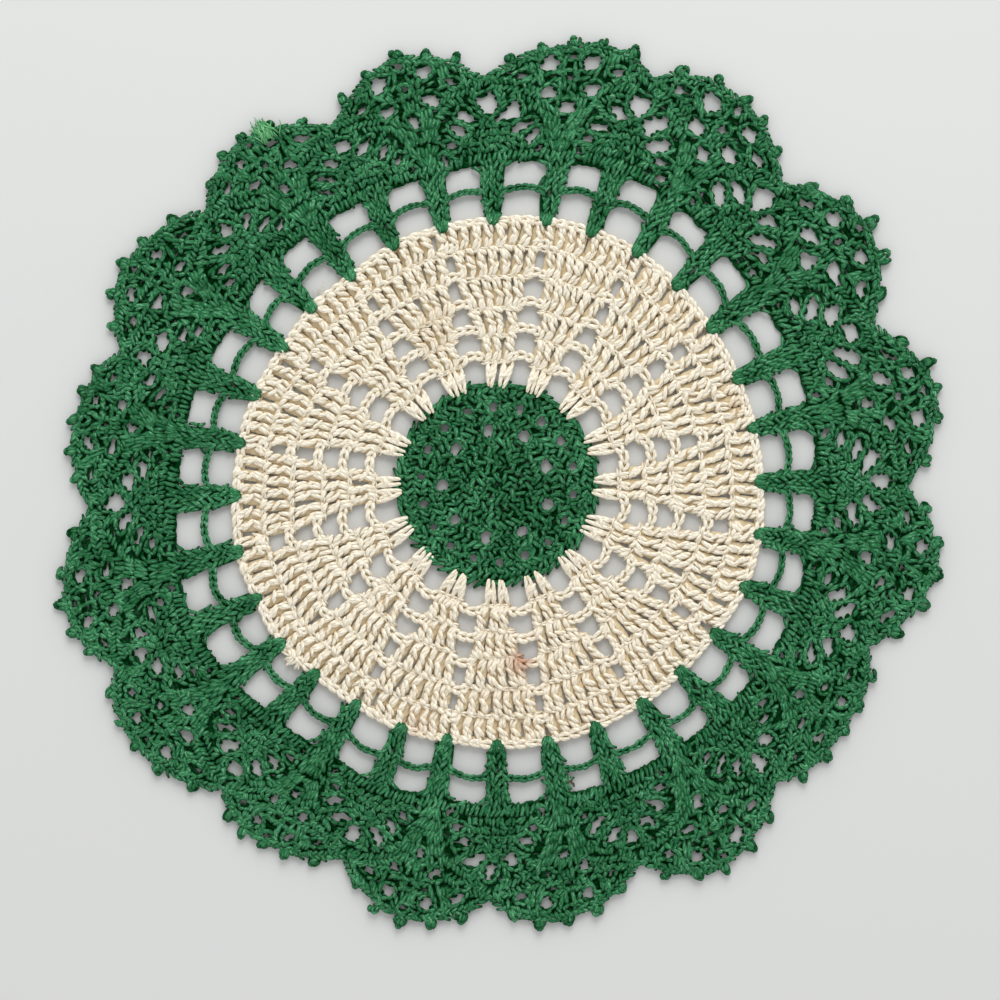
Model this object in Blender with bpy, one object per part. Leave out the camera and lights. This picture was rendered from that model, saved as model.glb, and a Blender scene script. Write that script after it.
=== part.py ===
"""A crocheted lace doily, laid flat: green medallion, cream ring of sixteen wedges, green scalloped border.

It was worked in rounds with three lengths of thread, so it is three flat pieces of lace, one in another.
Every place on it is given as (turn, radius). A turn counts posts of the border, thirty-two to the round:
even posts stand under the dips between scallops, odd posts under the scallops. A radius is that of the
even, drawn pattern. The table of posts then pulls the even pattern to the hand-made, uneven one.
"""

import math

import bmesh
import bpy
import numpy as np
from mathutils.geometry import delaunay_2d_cdt

MM = 0.001  # every size below is in millimetres
POSTS = 32
REPEATS = POSTS // 2
STEP = 2 * math.pi / POSTS  # angle from post to post in the even pattern
THREAD_GAP = 0.3  # between a round and the round of the other colour that it was worked into

# Radii of the even pattern
MEDALLION = 25.3
RING = 64.5
BAR = 72.4  # middle of the chain that joins the posts
BAND = 79.4  # where the posts run into the dense band
DIP = 100.0  # edge between two scallops
CREST = 110.0  # edge at the top of a scallop
PICOT = 3.0  # how far a picot stands out from the edge
CREST_POWER = 1.6  # how the edge falls from crest to dip

# Heights of the upper side
LOW = 1.3  # a single chain
EDGE = 1.7  # along an edge or a gap
CROWN = 2.3  # along the middle of a row of stitches

# One row for each post: where it stands (degrees), how far the ring, the bar and the band reach there,
# how far the border leans sideways at its edge (degrees), and how far the edge reaches: to the dip at
# an even post, to the tip of the middle picot at an odd one.
POST_COLUMNS = ("angle", "ring", "bar", "band", "lean", "reach")
POST_ROWS = (
    (0.5, 64.8, 72.2, 79.2, -0.7, 100.2),
    (12.4, 64.5, 72.2, 79.4, -0.2, 113.2),
    (23.8, 64.5, 72.5, 79.7, -1.3, 100.0),
    (36.0, 65.0, 72.2, 79.7, -1.0, 113.9),
    (47.7, 65.8, 74.4, 80.4, -1.4, 101.2),
    (58.7, 66.5, 75.7, 82.4, -1.5, 114.6),
    (69.3, 66.3, 75.7, 82.4, -0.3, 106.2),
    (79.2, 66.0, 74.2, 81.4, 0.9, 112.4),
    (91.0, 65.0, 72.7, 79.4, 1.0, 99.3),
    (101.9, 64.5, 71.7, 77.9, 1.6, 110.2),
    (113.3, 64.0, 71.2, 77.7, 2.0, 96.3),
    (125.0, 62.5, 70.5, 77.4, 1.4, 107.7),
    (136.6, 62.8, 70.5, 77.7, 0.4, 97.5),
    (147.3, 62.3, 70.2, 76.4, 2.2, 108.7),
    (159.8, 63.3, 71.2, 78.2, 1.0, 97.5),
    (171.0, 63.8, 71.7, 78.4, 0.3, 107.4),
    (182.5, 64.3, 72.2, 79.4, 1.0, 99.8),
    (194.5, 65.8, 73.4, 81.4, 1.2, 112.9),
    (205.5, 65.5, 74.2, 82.9, 0.0, 103.5),
    (216.2, 66.0, 72.7, 81.6, -0.2, 112.2),
    (226.1, 64.8, 72.2, 79.9, 2.4, 100.5),
    (237.2, 64.3, 72.2, 78.9, -0.5, 107.7),
    (248.6, 64.5, 73.2, 79.7, -1.6, 98.8),
    (258.8, 64.0, 72.0, 78.9, -1.3, 112.2),
    (270.0, 64.3, 73.0, 79.7, -1.5, 101.5),
    (281.2, 64.5, 72.5, 78.9, -1.7, 110.9),
    (291.9, 64.3, 73.0, 78.9, -1.9, 99.3),
    (303.5, 64.5, 73.0, 78.9, -2.5, 111.9),
    (314.4, 64.5, 73.4, 79.2, -1.9, 99.8),
    (325.7, 65.0, 72.5, 79.9, -1.0, 106.7),
    (337.5, 66.0, 73.0, 79.9, -1.5, 99.3),
    (349.0, 65.8, 72.7, 78.4, -0.4, 112.9),
)
MEDALLION_TWIST = -2.0  # degrees that the middle is turned against the border
TWIST_ENDS = 50.0  # radius at which that turn has run out

# The gaps that repeat. Columns: turns from the repeat's dip or crest, radius, width, height, tilt in
# degrees, taper (how much wider than its middle the inner end is, as a share) and corners.
GAP_COLUMNS = ("turn", "radius", "width", "height", "tilt", "taper", "corners")
RING_GAPS = (  # between two wedges, narrower from round to round
    (0.0, 34.9, 6.1, 5.4, 0, 0.10, 8),
    (0.0, 41.5, 5.7, 5.2, 0, 0.22, 8),
    (0.0, 48.5, 3.9, 5.9, 0, 0.35, 8),
    (0.0, 55.6, 2.7, 5.7, 0, 0.35, 8),
)
DIP_GAPS = (  # the kite over the band and two ladder gaps on each side of it
    (0.0, 94.2, 4.8, 5.8, 0, -0.45, 6),
    (-0.28, 92.0, 6.6, 2.8, -40, 0.0, 6),
    (0.28, 92.0, 6.6, 2.8, 40, 0.0, 6),
    (-0.46, 88.9, 6.0, 2.3, -33, 0.0, 6),
    (0.46, 88.9, 6.0, 2.3, 33, 0.0, 6),
)
CREST_GAPS = (  # two pairs in the lattice of the scallop
    (-0.26, 98.4, 4.6, 4.0, 12, 0.0, 6),
    (0.26, 98.4, 4.6, 4.0, -12, 0.0, 6),
    (-0.25, 105.3, 4.7, 4.1, 12, 0.1, 6),
    (0.25, 105.3, 4.7, 4.1, -12, 0.1, 6),
)
WINDOW_GAP = (0.5, 76.4, 9.3, 5.9, 0, -0.05, 8)  # between two posts, above the bar
MEDALLION_GAPS = 9
MEDALLION_FIRST = 1.77  # turn of the first of them
MEDALLION_GAP = (0.0, 13.5, 4.1, 4.0, 0, 0.0, 8)
PICOT_TURNS = (-0.70, -0.34, 0.0, 0.34, 0.70)  # along a scallop, from its crest

# Notches that a round leaves in the inner edge of its piece
WEDGE_FOOT = 2.8  # half width of a wedge where it is hooked into the medallion
WEDGE_NOTCH = ((0.0, 31.2), (1.5, 30.8), (2.3, 29.2), (2.5, 27.4))  # half widths and radii, top to bottom
POST_FOOT = 1.5  # half width of a post where it stands on the ring
POST_NOTCH = ((0.0, 71.6), (2.7, 71.5), (3.8, 70.2), (4.3, 67.8))

COLOURS = {"green": (0.016, 0.190, 0.070, 1.0), "cream": (0.83, 0.73, 0.57, 1.0)}

posts = {name: np.array(values) for name, values in zip(POST_COLUMNS, zip(*POST_ROWS))}


def along(values, turn):
    """A value that runs smoothly through its posts' values, once round the doily."""
    post = np.floor(turn).astype(int)
    t = turn - post
    before, here, after, beyond = (values[(post + k) % POSTS] for k in (-1, 0, 1, 2))
    slope_here, slope_after = (after - before) / 2, (beyond - here) / 2
    drop = here - after
    return here + t * (slope_here + t * (-3 * drop - 2 * slope_here - slope_after
                                         + t * (2 * drop + slope_here + slope_after)))


def edge(turn):
    """Radius of the border's even edge: a crest at each odd post, a dip at each even one."""
    from_crest = np.abs((turn % 2) - 1)
    return DIP + (CREST - DIP) * (1 - from_crest ** CREST_POWER)


def place(turn, radius):
    """The hand-made place of an even one, as X and Y."""
    even_reach = np.where(np.arange(POSTS) % 2, CREST + PICOT, DIP)
    stretch = (posts["reach"] - posts["band"]) / (even_reach - BAND)
    ring, bar, band = (along(posts[name], turn) for name in ("ring", "bar", "band"))
    wedge = MEDALLION + (radius - MEDALLION) * (ring - MEDALLION) / (RING - MEDALLION)
    real = np.where(radius < MEDALLION, radius, wedge)
    real = np.where(radius > RING, ring + (radius - RING) * (bar - ring) / (BAR - RING), real)
    real = np.where(radius > BAR, bar + (radius - BAR) * (band - bar) / (BAND - BAR), real)
    real = np.where(radius > BAND, band + (radius - BAND) * along(stretch, turn), real)
    stands = along(posts["angle"] - np.arange(POSTS) * 360 / POSTS, turn) + turn * 360 / POSTS
    leans = along(posts["lean"], turn) * np.clip((radius - BAND) / (CREST - BAND), 0, None)
    twist = MEDALLION_TWIST * np.clip(1 - radius / TWIST_ENDS, 0, None)
    angle = np.radians(stands + leans + twist)
    return real * np.cos(angle), real * np.sin(angle)


def loop(turn, radius, across, out, height=EDGE):
    """Points at (across, out) from a place, in millimetres, as rows of turn, radius and height."""
    across, out = np.asarray(across, float), np.asarray(out, float)
    at_radius = radius + out
    return np.column_stack((turn + across / (at_radius * STEP), at_radius, np.full(len(out), height)))


def gap(turn, row):
    """A rounded gap of the lace: one row of a table of gaps, counted from a given turn."""
    size = dict(zip(GAP_COLUMNS, row))
    around = -(np.arange(size["corners"]) + 0.5) * 2 * math.pi / size["corners"]
    squarish = 0.75
    across, out = (np.sign(wave) * np.abs(wave) ** squarish for wave in (np.cos(around), np.sin(around)))
    across = across * size["width"] / 2 * (1 - size["taper"] * out)
    out = out * size["height"] / 2
    tilt = math.radians(size["tilt"])
    return loop(turn + size["turn"], size["radius"],
                across * math.cos(tilt) - out * math.sin(tilt),
                across * math.sin(tilt) + out * math.cos(tilt))


def notched(radius, foot, notch, first, count):
    """An inner edge: feet at the radius, and between two feet a notch of the given half widths."""
    rows = []
    for k in range(count):
        middle = first + k * POSTS / count
        left = [(-half, out) for half, out in notch[:0:-1]]
        right = [(half, out) for half, out in notch]
        for half, out in left + right:
            rows.append((middle + half / (out * STEP), out, EDGE))
        for side in (-1, 1):
            rows.append((middle + POSTS / count / 2 + side * foot / (radius * STEP), radius, EDGE))
    return np.array(rows)


def scalloped():
    """The outer edge: picots along each scallop, and two points between neighbouring picots."""
    rows = []
    knob = ((-1.1, 0.0), (-1.5, 1.5), (-0.7, PICOT), (0.7, PICOT), (1.5, 1.5), (1.1, 0.0))
    for crest in range(1, POSTS, 2):
        rows.append((crest - 1, DIP, LOW))
        for turn in PICOT_TURNS:
            on_edge = float(edge(crest + turn))
            for across, out in knob:
                rows.append((crest + turn + across / (on_edge * STEP), on_edge + out, EDGE))
    return np.array(rows)


def ridge(turns, radius, height=CROWN):
    """Points along the crown of a row of stitches."""
    turns = np.asarray(turns, float)
    return np.column_stack((turns, np.full(len(turns), radius), np.full(len(turns), height)))


def material(colour):
    """Matt cotton thread."""
    made = bpy.data.materials.new(colour + " thread")
    made.use_nodes = True
    shader = made.node_tree.nodes["Principled BSDF"]
    shader.inputs["Base Color"].default_value = COLOURS[colour]
    shader.inputs["Roughness"].default_value = 0.85
    shader.inputs["Metallic"].default_value = 0.0
    return made


def lace(name, outlines, gaps, crowns, finish, middle):
    """One flat piece: its outline filled between the gaps, then raised from the table to its heights."""
    loops = outlines + gaps
    rows = np.vstack(loops + crowns)
    across, up = place(rows[:, 0], rows[:, 1])
    firsts = np.cumsum([0] + [len(points) for points in loops])
    faces = [list(range(a, b)) for a, b in zip(firsts, firsts[1:])]
    flat, _, triangles, sources, _, inside = delaunay_2d_cdt(
        [(x, y) for x, y in zip(across, up)], [], faces, 1, 1e-6)
    bm = bmesh.new()
    corners = [bm.verts.new(((x - middle[0]) * MM, (y - middle[1]) * MM, 0)) for x, y in flat]
    for triangle, holders in zip(triangles, inside):
        if holders == [0]:
            bm.faces.new([corners[k] for k in triangle])
    heights = {corner: rows[source[0], 2] for corner, source in zip(corners, sources) if source}
    bmesh.ops.delete(bm, geom=[corner for corner in corners if not corner.link_faces], context="VERTS")
    lifted = {tuple(corner.co): height for corner, height in heights.items() if corner.is_valid}
    raised = bmesh.ops.extrude_face_region(bm, geom=bm.faces[:])
    for corner in raised["geom"]:
        if isinstance(corner, bmesh.types.BMVert):
            corner.co.z = lifted[tuple(corner.co)] * MM
    bmesh.ops.recalc_face_normals(bm, faces=bm.faces)
    mesh = bpy.data.meshes.new(name)
    bm.to_mesh(mesh)
    bm.free()
    mesh.materials.append(finish)
    piece = bpy.data.objects.new(name, mesh)
    bpy.context.scene.collection.objects.link(piece)
    return piece


def medallion():
    round_edge = ridge(np.arange(0, POSTS, 0.5), MEDALLION, EDGE)
    gaps = [gap(MEDALLION_FIRST + k * POSTS / MEDALLION_GAPS, MEDALLION_GAP) for k in range(MEDALLION_GAPS)]
    crowns = [ridge(np.arange(0, POSTS, 1.0), 22.6), ridge(np.arange(0, POSTS, 4.0), 6.0)]
    return [round_edge], gaps, crowns


def ring():
    outer = ridge(np.arange(0, POSTS, 0.5), RING, EDGE)
    inner = notched(MEDALLION + THREAD_GAP, WEDGE_FOOT, WEDGE_NOTCH, 1, REPEATS)
    gaps = [gap(crest, row) for crest in range(1, POSTS, 2) for row in RING_GAPS]
    crowns = [ridge(np.arange(0, POSTS, 0.5), 61.8)]
    for radius, spread in ((28.2, 0.2), (33.5, 0.3), (40.0, 0.35), (47.2, 0.5), (54.6, 0.6)):
        for dip in range(0, POSTS, 2):
            crowns.append(ridge(dip + spread * np.array((-1.0, 1.0)), radius))
    return [outer], [inner] + gaps, crowns


def border():
    inner = notched(RING + THREAD_GAP, POST_FOOT, POST_NOTCH, 0.5, POSTS)
    gaps = [gap(post, WINDOW_GAP) for post in range(POSTS)]
    crowns = [ridge(np.arange(POSTS), radius) for radius in (67.5, 70.5, 75.0, 78.0)]
    crowns += [ridge(np.arange(0, POSTS, 0.5), 82.0), ridge(np.arange(0, POSTS, 2), 87.0)]
    for dip in range(0, POSTS, 2):
        gaps += [gap(dip, row) for row in DIP_GAPS]
        gaps += [gap(dip + 1, row) for row in CREST_GAPS]
        crowns.append(ridge(dip + 1 + np.array((-0.12, 0.12)), 88.0))
        crowns.append(ridge([dip + 1], 95.0))
        crowns.append(ridge([dip + 1], 103.0))
    return [scalloped()], [inner] + gaps, crowns


def main():
    for old in list(bpy.data.objects):
        bpy.data.objects.remove(old)
    rim = scalloped()
    across, up = place(rim[:, 0], rim[:, 1])
    middle = (across.min() + across.max()) / 2, (up.min() + up.max()) / 2
    green, cream = material("green"), material("cream")
    lace("centre_medallion", *medallion(), green, middle)
    lace("wedge_ring", *ring(), cream, middle)
    lace("scallop_border", *border(), green, middle)


main()
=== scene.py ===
# A crocheted lace doily, laid flat: green medallion, cream wedges, green scalloped border.
import math
import bpy
import numpy as np
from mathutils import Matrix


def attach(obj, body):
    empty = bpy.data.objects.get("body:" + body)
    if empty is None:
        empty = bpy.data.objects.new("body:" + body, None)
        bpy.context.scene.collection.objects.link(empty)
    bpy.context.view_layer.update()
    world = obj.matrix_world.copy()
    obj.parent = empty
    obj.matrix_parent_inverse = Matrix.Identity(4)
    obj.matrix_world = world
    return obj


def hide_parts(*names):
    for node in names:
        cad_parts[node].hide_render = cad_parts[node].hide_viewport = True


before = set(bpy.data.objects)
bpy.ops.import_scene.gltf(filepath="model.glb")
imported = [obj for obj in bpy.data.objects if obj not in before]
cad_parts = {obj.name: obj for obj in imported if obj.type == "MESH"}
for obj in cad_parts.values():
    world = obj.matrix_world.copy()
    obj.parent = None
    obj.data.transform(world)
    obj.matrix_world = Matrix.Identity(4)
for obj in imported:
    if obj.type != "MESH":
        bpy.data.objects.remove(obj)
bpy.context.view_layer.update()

# Places are drawn in an even pattern as (turn, radius in mm). A turn counts the border's posts, 32 to the
# round: even posts stand under the dips between scallops, odd ones under the crests. The table of posts then
# pulls the even pattern to the hand-made, uneven one.
mm = 0.001
seeded = np.random.default_rng
layout = {
    "posts": 32, "medallion": 25.3, "ring": 64.5, "bar": 72.4, "band": 79.4, "dip": 100.0, "crest": 110.0,
    "picot": 3.0, "crestPower": 1.6, "middleTwist": -2.0, "twistEnds": 50.0,
    "middle": (0.9658, 0.1505),  # middle of the finished rim, which lies over the frame's origin
}
posts = layout["posts"]
step = 2 * math.pi / posts  # angle from post to post
everyPost = np.arange(posts)
dips, crests = everyPost[::2], everyPost[1::2]
postColumns = ("angle", "ring", "bar", "band", "lean", "reach")
postRows = (
    (0.5, 64.8, 72.2, 79.2, -0.7, 100.2), (12.4, 64.5, 72.2, 79.4, -0.2, 113.2),
    (23.8, 64.5, 72.5, 79.7, -1.3, 100.0), (36.0, 65.0, 72.2, 79.7, -1.0, 113.9),
    (47.7, 65.8, 74.4, 80.4, -1.4, 101.2), (58.7, 66.5, 75.7, 82.4, -1.5, 114.6),
    (69.3, 66.3, 75.7, 82.4, -0.3, 106.2), (79.2, 66.0, 74.2, 81.4, 0.9, 112.4),
    (91.0, 65.0, 72.7, 79.4, 1.0, 99.3), (101.9, 64.5, 71.7, 77.9, 1.6, 110.2),
    (113.3, 64.0, 71.2, 77.7, 2.0, 96.3), (125.0, 62.5, 70.5, 77.4, 1.4, 107.7),
    (136.6, 62.8, 70.5, 77.7, 0.4, 97.5), (147.3, 62.3, 70.2, 76.4, 2.2, 108.7),
    (159.8, 63.3, 71.2, 78.2, 1.0, 97.5), (171.0, 63.8, 71.7, 78.4, 0.3, 107.4),
    (182.5, 64.3, 72.2, 79.4, 1.0, 99.8), (194.5, 65.8, 73.4, 81.4, 1.2, 112.9),
    (205.5, 65.5, 74.2, 82.9, 0.0, 103.5), (216.2, 66.0, 72.7, 81.6, -0.2, 112.2),
    (226.1, 64.8, 72.2, 79.9, 2.4, 100.5), (237.2, 64.3, 72.2, 78.9, -0.5, 107.7),
    (248.6, 64.5, 73.2, 79.7, -1.6, 98.8), (258.8, 64.0, 72.0, 78.9, -1.3, 112.2),
    (270.0, 64.3, 73.0, 79.7, -1.5, 101.5), (281.2, 64.5, 72.5, 78.9, -1.7, 110.9),
    (291.9, 64.3, 73.0, 78.9, -1.9, 99.3), (303.5, 64.5, 73.0, 78.9, -2.5, 111.9),
    (314.4, 64.5, 73.4, 79.2, -1.9, 99.8), (325.7, 65.0, 72.5, 79.9, -1.0, 106.7),
    (337.5, 66.0, 73.0, 79.9, -1.5, 99.3), (349.0, 65.8, 72.7, 78.4, -0.4, 112.9),
)
postTable = {name: np.array(values) for name, values in zip(postColumns, zip(*postRows))}

# How uneven the hand work is: shares of a size, half widths across, stitches along, radians for slants,
# posts for a turn, otherwise mm. A strand's lean is how far across it goes in one stitch.
hand = {
    "stitchStretch": 0.05, "stitchAcross": 0.05, "stitchAlong": 0.015, "stitchRise": 0.04,
    "stitchLean": 0.09, "strandAcross": 0.06, "strandAlong": 0.02, "strandRise": 0.07, "strandLean": 0.10,
    "wedgeLean": 0.45, "columnLean": 0.2, "columnAside": 0.055,
    "holeTurn": 0.016, "holeRadius": 0.3, "holeTilt": 0.16, "holeSize": (-0.26, 0.14),
    "looseTurn": 5, "looser": 0.30, "tighter": 0.10,  # openings are larger round one turn
    "leastWaves": (0.04, 0, 0, 0), "mostWaves": (0.2, 6.3, 0.13, 6.3),  # size and angle of two waves
    "hemCorner": 0.24, "hemAside": 0.07, "hemRise": 0.12, "grainBow": 0.12, "grainSlant": (0.8, 0.4),
    "lowAlong": 0.1, "lowAside": 0.12, "lowSlant": 0.16, "lowRise": 0.06, "endRise": 0.12,
}


# A value that runs smoothly through its posts' values: a periodic cubic with the neighbours' slopes.
def along(values, turn):
    post = np.floor(turn).astype(int)
    t = turn - post
    before, here, after, beyond = (values[(post + k) % posts] for k in (-1, 0, 1, 2))
    slopeHere, slopeAfter = (after - before) / 2, (beyond - here) / 2
    drop = here - after
    return here + t * (slopeHere + t * (-3 * drop - 2 * slopeHere - slopeAfter
                                        + t * (2 * drop + slopeHere + slopeAfter)))


# Radius of the even edge: falls from each crest to the dips by a power of the turn from the crest.
def edge(turn):
    fromCrest = np.abs((turn % 2) - 1)
    return layout["dip"] + (layout["crest"] - layout["dip"]) * (1 - fromCrest ** layout["crestPower"])


# The hand-made place of an even one: radii stretched piece by piece, angles moved, leant and twisted.
def place(turn, radius):
    medallion, ring, bar, band = (layout[name] for name in ("medallion", "ring", "bar", "band"))
    evenReach = np.where(everyPost % 2, layout["crest"] + layout["picot"], layout["dip"])
    stretch = (postTable["reach"] - postTable["band"]) / (evenReach - band)
    ringHere, barHere, bandHere = (along(postTable[name], turn) for name in ("ring", "bar", "band"))
    wedge = medallion + (radius - medallion) * (ringHere - medallion) / (ring - medallion)
    real = np.where(radius < medallion, radius, wedge)
    real = np.where(radius > ring, ringHere + (radius - ring) * (barHere - ringHere) / (bar - ring), real)
    real = np.where(radius > bar, barHere + (radius - bar) * (bandHere - barHere) / (band - bar), real)
    real = np.where(radius > band, bandHere + (radius - band) * along(stretch, turn), real)
    stands = along(postTable["angle"] - everyPost * 360 / posts, turn) + turn * 360 / posts
    leans = along(postTable["lean"], turn) * np.clip((radius - band) / (layout["crest"] - band), 0, None)
    twist = layout["middleTwist"] * np.clip(1 - radius / layout["twistEnds"], 0, None)
    angle = np.radians(stands + leans + twist)
    return real * np.cos(angle), real * np.sin(angle)


# Even (turn, radius) to even X and Y: a circle's cosine and sine.
def even(turn, radius):
    return np.stack((radius * np.cos(turn * step), radius * np.sin(turn * step)), -1)


# The other way: the angle in posts, and the distance from the middle.
def polar(points):
    return np.arctan2(points[..., 1], points[..., 0]) / step, np.hypot(points[..., 0], points[..., 1])


# X and Y turned by an angle: x cosine minus y sine, and x sine plus y cosine.
def turnedBy(angle, x, y):
    cosine, sine = np.cos(angle), np.sin(angle)
    return np.stack((x * cosine - y * sine, x * sine + y * cosine), -1)


# Even points in millimetres to the frame's metres, by way of place().
def laid(points):
    turn, radius = polar(points)
    x, y = place(turn % posts, radius)
    return np.stack((x - layout["middle"][0], y - layout["middle"][1], points[..., 2]), -1) * mm


# Weights of the control points on a cubic that runs through them all, read at the given places.
def splineWeights(count, at):
    first = np.clip(np.floor(at).astype(int), 0, count - 2)
    t = (at - first)[:, None]
    one = np.eye(count)
    padded = np.vstack((2 * one[0] - one[1], one, 2 * one[-1] - one[-2]))
    a, b, c, d = (padded[first + k] for k in range(4))
    cubic = 1.5 * (b - c) + (d - a) / 2
    return b + t / 2 * (c - a) + t * t * (a - 2.5 * b + 2 * c - d / 2) + t ** 3 * cubic


# Places on ribbons' curves, and each curve's unit normal there, in the plane of the mat.
def onRibbons(ribbon, at):
    count, shape = ribbon.shape[1], at.shape + (-1,)
    weights, ahead = (splineWeights(count, at.ravel() + more).reshape(shape) for more in (0, 0.01))
    forward = np.einsum("mpc,mcd->mpd", ahead - weights, ribbon[..., :2])
    forward /= np.linalg.norm(forward, axis=-1, keepdims=True)
    return np.einsum("mpc,mcd->mpd", weights, ribbon), np.stack((-forward[..., 1], forward[..., 0]), -1)


# Stitches worked along ribbons. A ribbon's rows are turn, radius, height and width, a strand's are across
# (in half widths), along (in stitches) and height. A point goes to the curve at its along, plus across times
# half the width along the normal. Each strand is turned a little; a stitch moved aside lies higher or lower.
def worked(template, ribbons, repeats=1, wobble=1.0, slip=0.0, stray=0.03, seed=1):
    draw, strand, ribbons = seeded(seed), np.array(template, float), np.asarray(ribbons, float)
    ribbon = np.concatenate((even(ribbons[..., 0], ribbons[..., 1]), ribbons[..., 2:]), -1)
    ribbonCount, controls = ribbon.shape[:2]
    strands, points = strand.shape[:2]
    shape = (ribbonCount, repeats, strands, points)
    stretched, moved, stitchLeant, stitchAhead = draw.normal(0, wobble, (4, ribbonCount, repeats, 1, 1))
    aside, ahead, raised, leant = draw.normal(0, wobble, (4, ribbonCount, repeats, strands, 1))
    slipped = slip * draw.uniform(-1, 1, (ribbonCount, 1, 1, 1))
    tip = strand[..., 1] - strand[..., 1].mean(-1, keepdims=True)
    across = strand[..., 0] * (1 + hand["stitchStretch"] * stretched) + hand["stitchAcross"] * moved
    across = across + hand["strandAcross"] * aside
    across = across + tip * (hand["stitchLean"] * stitchLeant + hand["strandLean"] * leant)
    out = strand[..., 1] + hand["stitchAlong"] * stitchAhead + hand["strandAlong"] * ahead + slipped
    at = np.broadcast_to((np.arange(repeats)[:, None, None] + out) / repeats, shape) * (controls - 1)
    spot, side = onRibbons(ribbon, at.reshape(ribbonCount, -1))
    across = np.broadcast_to(across, shape).reshape(ribbonCount, -1, 1)
    flat = (spot[..., :2] + side * across * spot[..., 3:] / 2).reshape(-1, points, 2)
    rise = np.broadcast_to(strand[..., 2] + hand["strandRise"] * raised + hand["stitchRise"] * moved, shape)
    rise = (spot[..., 2] + rise.reshape(ribbonCount, -1)).reshape(-1, points, 1)
    middle = flat.mean(1, keepdims=True)
    x, y = np.moveaxis(flat - middle, -1, 0)
    flat = middle + turnedBy(draw.normal(0, wobble * stray, (len(x), 1)), x, y)
    return np.concatenate((flat, rise), -1)


# Ribbons from a list of (turn, radius, height, width) points, once from every given turn.
def ribbonsAt(turns, *rows):
    made = np.repeat(np.array(rows, float)[None], len(turns), 0)
    made[..., 0] += np.asarray(turns, float)[:, None]
    return made


# Ribbons along arcs round the middle, reaching half, in posts, to both sides of every turn.
def arcs(turns, half, radius, height, width, shares=(-1, -0.5, 0, 0.5, 1)):
    return ribbonsAt(turns, *[(half * share, radius, height, width) for share in shares])


# Middles of columns side by side, as shares of their span from its middle.
def sideBySide(count):
    return (np.arange(count) + 0.5) / count - 0.5


# One point for each of many ribbons: its turn, its radius, no height and one width.
def ribbonPoint(turn, radius, width):
    return np.stack((turn, radius + 0 * turn, 0 * turn, width + 0 * turn), -1).reshape(-1, 4)


# Stitches side by side: ribbons from a line at the foot to a line at the top, each cut into count. With a
# seed, each row leans its own way, and each stitch leans and stands a little off its place.
def rowOf(turns, count, footRadius, topRadius, footSpan, topSpan, seed=None):
    spots, lean = sideBySide(count), 0.0
    if seed is not None:
        draw, shape = seeded(seed), (len(turns), count)
        lean = draw.normal(0, hand["wedgeLean"], (len(turns), 1)) + draw.normal(0, hand["columnLean"], shape)
        spots = spots + draw.normal(0, hand["columnAside"], shape) / count
    rows = []
    for radius, span, move in ((footRadius, footSpan, 0.0), (topRadius, topSpan, lean)):
        turn = np.asarray(turns, float)[:, None] + (spots * span + move) / (radius * step)
        rows.append(ribbonPoint(turn, radius, span / count))
    return np.stack(rows, 1)


# Openings at every turn, nine values each: turn, radius, half length, half width and tilt, changed a little
# by draws and larger where the thread was worked looser, then size and angle of two waves of the outline.
def openingsOf(rows, turns, mirrored, seed, uneven=1.0):
    draw, count, made = seeded(seed), len(turns), []
    least, most = (np.array(hand[key]) * (uneven, 1, uneven, 1) for key in ("leastWaves", "mostWaves"))
    for side in ((1, -1) if mirrored else (1,)):
        for off, radius, halfLength, halfWidth, tilt in rows:
            turn = turns + side * off + uneven * draw.normal(0, hand["holeTurn"], count)
            nearLoose = np.clip(np.cos((turn - hand["looseTurn"]) * step), 0, 1) ** 2
            loose = 1 + uneven * (hand["looser"] * nearLoose - hand["tighter"])
            longer, wider = loose * (1 + uneven * draw.uniform(*hand["holeSize"], (2, count)))
            lean = math.radians(tilt if side > 0 else 180 - tilt)
            lean = lean + uneven * draw.normal(0, hand["holeTilt"], count)
            away = radius + uneven * draw.normal(0, hand["holeRadius"], count)
            waves = draw.uniform(least, most, (count, 4)).T
            values = (turn % posts, away, halfLength * longer, halfWidth * wider, lean, *waves)
            made.append(np.stack(values, -1))
    return np.concatenate(made)


# How far an outline reaches at an angle, in half sizes: a power of the cosine and of the sine, summed and
# brought back by the root, times one plus the cosines of three and of four times the angle.
def outline(opening, angle, power=2.4):
    plain = (np.abs(np.cos(angle)) ** power + np.abs(np.sin(angle)) ** power) ** (-1 / power)
    three, threeAt, four, fourAt = opening[5:]
    return plain * (1 + three * np.cos(3 * angle - threeAt) + four * np.cos(4 * angle - fourAt))


# Whether even points lie in an opening, nearer to its middle than its outline: two posts of the round at a
# time, with the openings that reach there.
def inside(openings, points, grow, reaches=2.2):
    turn, radius = polar(points)
    found = np.zeros(radius.shape, bool)
    for first in dips:
        near = np.abs((openings[:, 0] - first - 1 + posts / 2) % posts - posts / 2) < reaches
        here = (turn - first) % posts < 2
        opening = openings[near].T[:, :, None]
        away = (turn[here] - opening[0] + posts / 2) % posts - posts / 2
        spots = turnedBy(-opening[4], away * step * radius[here], radius[here] - opening[1])
        lengthwise, crosswise = spots[..., 0] / (opening[2] + grow), spots[..., 1] / (opening[3] + grow)
        reach = outline(opening, np.arctan2(crosswise, lengthwise))
        found[here] = (np.hypot(lengthwise, crosswise) < reach).any(0)
    return found


# The strands that stay out of the openings: their middle fully, and their ends nearly.
def clear(openings, paths, grow=0.15, endGrow=-0.3):
    middleIn = inside(openings, paths[:, 1:3, :2].mean(1), grow)
    startIn, endIn = (inside(openings, paths[:, end, :2], endGrow) for end in (0, -1))
    return paths[~middleIn & ~startIn & ~endIn]


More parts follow.
